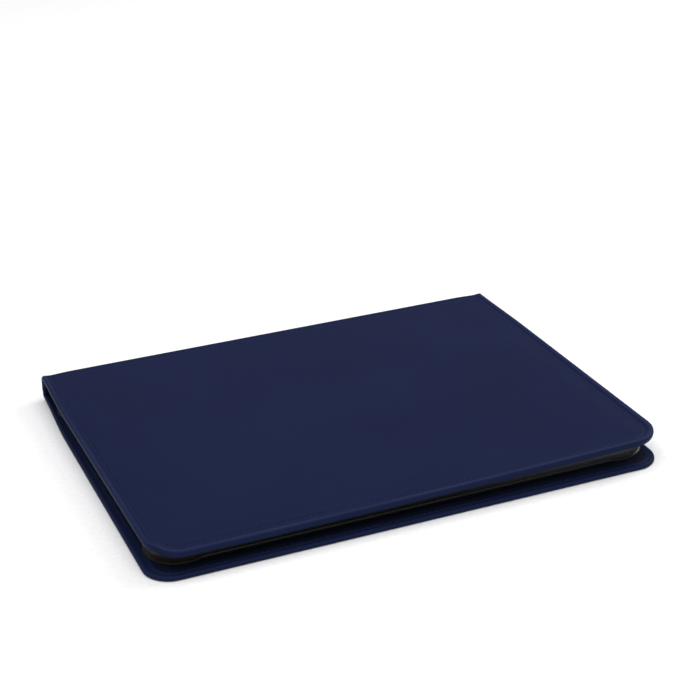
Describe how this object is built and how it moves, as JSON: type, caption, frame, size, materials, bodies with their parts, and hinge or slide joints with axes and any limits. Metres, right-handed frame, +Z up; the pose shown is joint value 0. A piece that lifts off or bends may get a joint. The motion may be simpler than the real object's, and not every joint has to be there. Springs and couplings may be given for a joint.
{
  "type": "tablet keyboard case",
  "caption": "Leather folio case for a tablet, closed: soft spine, back cover with a moulded tray and camera opening, and a front cover that carries a thin keyboard.",
  "frame": {"origin": "middle of the footprint, at the underside of the back cover", "axes": "+X along the spine and the long edges, +Y from the opening edge towards the spine, +Z up from the back cover to the keyboard cover"},
  "size_m": [0.2634, 0.1978, 0.0144],
  "materials": {
    "navy_leather": "smooth fine-grained dyed leather, satin",
    "stiffening_board": "grey board, unfinished",
    "microfibre": "dark microfibre lining",
    "tray_plastic": "fine-textured black polycarbonate",
    "tray_felt": "thin dark felt",
    "magnet_steel": "nickel-plated magnet",
    "keyboard_plastic": "black moulded plastic, satin",
    "key_plastic": "black soft-touch keys",
    "membrane_film": "printed contact film",
    "dome_rubber": "grey silicone rubber",
    "cell_foil": "pouch cell in foil",
    "circuit_laminate": "solder-masked circuit board",
    "component_plastic": "moulded electronic components",
    "socket_steel": "stainless steel shell",
    "light_pipe": "clear light pipe",
    "screw_steel": "blackened steel",
    "bumper_rubber": "black rubber",
    "control_plastic": "dark grey moulded plastic"
  },
  "bodies": {
    "back_cover": {"back_leather": "navy_leather", "back_board": "stiffening_board", "flap_board": "stiffening_board", "back_lining": "microfibre", "back_magnets": "magnet_steel", "camera_trim": "tray_plastic", "tray_base": "tray_plastic", "tray_walls": "tray_plastic", "corner_grips": "tray_plastic", "tray_pad": "tray_felt"},
    "spine": {"spine_leather": "navy_leather", "spine_board": "stiffening_board", "spine_lining": "microfibre"},
    "keyboard_cover": {"lid_leather": "navy_leather", "lid_board": "stiffening_board", "lid_lining": "microfibre", "lid_magnets": "magnet_steel", "stand_rail": "tray_plastic", "rail_magnets": "magnet_steel", "keyboard_base": "keyboard_plastic", "keyboard_deck": "keyboard_plastic", "control_bar": "keyboard_plastic", "membrane_sheet": "membrane_film", "dome_sheet": "dome_rubber", "battery_cell": "cell_foil", "circuit_board": "circuit_laminate", "board_parts": "component_plastic", "charge_port": "socket_steel", "status_lights": "light_pipe", "housing_screws": "screw_steel", "rubber_bumpers": "bumper_rubber"},
    "power_slider": {"power_slider": "control_plastic"},
    "pairing_button": {"pairing_button": "control_plastic"},
    "function_keys": {"function_keys": "key_plastic"},
    "number_keys": {"number_keys": "key_plastic"},
    "backspace_key": {"backspace_key": "key_plastic"},
    "tab_key": {"tab_key": "key_plastic"},
    "upper_letter_keys": {"upper_letter_keys": "key_plastic"},
    "caps_key": {"caps_key": "key_plastic"},
    "home_letter_keys": {"home_letter_keys": "key_plastic"},
    "return_key": {"return_key": "key_plastic"},
    "left_shift_key": {"left_shift_key": "key_plastic"},
    "lower_letter_keys": {"lower_letter_keys": "key_plastic"},
    "right_shift_key": {"right_shift_key": "key_plastic"},
    "fn_key": {"fn_key": "key_plastic"},
    "control_key": {"control_key": "key_plastic"},
    "left_option_key": {"left_option_key": "key_plastic"},
    "left_command_key": {"left_command_key": "key_plastic"},
    "space_bar": {"space_bar": "key_plastic"},
    "right_command_key": {"right_command_key": "key_plastic"},
    "right_option_key": {"right_option_key": "key_plastic"},
    "left_arrow_key": {"left_arrow_key": "key_plastic"},
    "up_arrow_key": {"up_arrow_key": "key_plastic"},
    "down_arrow_key": {"down_arrow_key": "key_plastic"},
    "right_arrow_key": {"right_arrow_key": "key_plastic"}
  },
  "joints": [
    {"name": "back_fold", "type": "hinge", "parent": "back_cover", "child": "spine", "pos_m": [0, 0.09805, 0.0009], "axis": [-1, 0, 0], "range_deg": [0, 90]},
    {"name": "cover_fold", "type": "hinge", "parent": "spine", "child": "keyboard_cover", "pos_m": [0, 0.09805, 0.0135], "axis": [-1, 0, 0], "range_deg": [0, 90]},
    {"name": "power_switch", "type": "slide", "parent": "keyboard_cover", "child": "power_slider", "axis": [1, 0, 0], "range_m": [0, 0.0025]},
    {"name": "pairing_press", "type": "slide", "parent": "keyboard_cover", "child": "pairing_button", "axis": [0, 0, 1], "range_m": [0, 0.0003], "stiffness_N_per_m": 600, "springref_m": -0.0002},
    {"name": "function_keys_press", "type": "slide", "parent": "keyboard_cover", "child": "function_keys", "axis": [0, 0, 1], "range_m": [0, 0.001], "stiffness_N_per_m": 600, "springref_m": -0.0002},
    {"name": "number_keys_press", "type": "slide", "parent": "keyboard_cover", "child": "number_keys", "axis": [0, 0, 1], "range_m": [0, 0.001], "stiffness_N_per_m": 600, "springref_m": -0.0002},
    {"name": "backspace_key_press", "type": "slide", "parent": "keyboard_cover", "child": "backspace_key", "axis": [0, 0, 1], "range_m": [0, 0.001], "stiffness_N_per_m": 600, "springref_m": -0.0002},
    {"name": "tab_key_press", "type": "slide", "parent": "keyboard_cover", "child": "tab_key", "axis": [0, 0, 1], "range_m": [0, 0.001], "stiffness_N_per_m": 600, "springref_m": -0.0002},
    {"name": "upper_letter_keys_press", "type": "slide", "parent": "keyboard_cover", "child": "upper_letter_keys", "axis": [0, 0, 1], "range_m": [0, 0.001], "stiffness_N_per_m": 600, "springref_m": -0.0002},
    {"name": "caps_key_press", "type": "slide", "parent": "keyboard_cover", "child": "caps_key", "axis": [0, 0, 1], "range_m": [0, 0.001], "stiffness_N_per_m": 600, "springref_m": -0.0002},
    {"name": "home_letter_keys_press", "type": "slide", "parent": "keyboard_cover", "child": "home_letter_keys", "axis": [0, 0, 1], "range_m": [0, 0.001], "stiffness_N_per_m": 600, "springref_m": -0.0002},
    {"name": "return_key_press", "type": "slide", "parent": "keyboard_cover", "child": "return_key", "axis": [0, 0, 1], "range_m": [0, 0.001], "stiffness_N_per_m": 600, "springref_m": -0.0002},
    {"name": "left_shift_key_press", "type": "slide", "parent": "keyboard_cover", "child": "left_shift_key", "axis": [0, 0, 1], "range_m": [0, 0.001], "stiffness_N_per_m": 600, "springref_m": -0.0002},
    {"name": "lower_letter_keys_press", "type": "slide", "parent": "keyboard_cover", "child": "lower_letter_keys", "axis": [0, 0, 1], "range_m": [0, 0.001], "stiffness_N_per_m": 600, "springref_m": -0.0002},
    {"name": "right_shift_key_press", "type": "slide", "parent": "keyboard_cover", "child": "right_shift_key", "axis": [0, 0, 1], "range_m": [0, 0.001], "stiffness_N_per_m": 600, "springref_m": -0.0002},
    {"name": "fn_key_press", "type": "slide", "parent": "keyboard_cover", "child": "fn_key", "axis": [0, 0, 1], "range_m": [0, 0.001], "stiffness_N_per_m": 600, "springref_m": -0.0002},
    {"name": "control_key_press", "type": "slide", "parent": "keyboard_cover", "child": "control_key", "axis": [0, 0, 1], "range_m": [0, 0.001], "stiffness_N_per_m": 600, "springref_m": -0.0002},
    {"name": "left_option_key_press", "type": "slide", "parent": "keyboard_cover", "child": "left_option_key", "axis": [0, 0, 1], "range_m": [0, 0.001], "stiffness_N_per_m": 600, "springref_m": -0.0002},
    {"name": "left_command_key_press", "type": "slide", "parent": "keyboard_cover", "child": "left_command_key", "axis": [0, 0, 1], "range_m": [0, 0.001], "stiffness_N_per_m": 600, "springref_m": -0.0002},
    {"name": "space_bar_press", "type": "slide", "parent": "keyboard_cover", "child": "space_bar", "axis": [0, 0, 1], "range_m": [0, 0.001], "stiffness_N_per_m": 600, "springref_m": -0.0002},
    {"name": "right_command_key_press", "type": "slide", "parent": "keyboard_cover", "child": "right_command_key", "axis": [0, 0, 1], "range_m": [0, 0.001], "stiffness_N_per_m": 600, "springref_m": -0.0002},
    {"name": "right_option_key_press", "type": "slide", "parent": "keyboard_cover", "child": "right_option_key", "axis": [0, 0, 1], "range_m": [0, 0.001], "stiffness_N_per_m": 600, "springref_m": -0.0002},
    {"name": "left_arrow_key_press", "type": "slide", "parent": "keyboard_cover", "child": "left_arrow_key", "axis": [0, 0, 1], "range_m": [0, 0.001], "stiffness_N_per_m": 600, "springref_m": -0.0002},
    {"name": "up_arrow_key_press", "type": "slide", "parent": "keyboard_cover", "child": "up_arrow_key", "axis": [0, 0, 1], "range_m": [0, 0.001], "stiffness_N_per_m": 600, "springref_m": -0.0002},
    {"name": "down_arrow_key_press", "type": "slide", "parent": "keyboard_cover", "child": "down_arrow_key", "axis": [0, 0, 1], "range_m": [0, 0.001], "stiffness_N_per_m": 600, "springref_m": -0.0002},
    {"name": "right_arrow_key_press", "type": "slide", "parent": "keyboard_cover", "child": "right_arrow_key", "axis": [0, 0, 1], "range_m": [0, 0.001], "stiffness_N_per_m": 600, "springref_m": -0.0002}
  ]
}
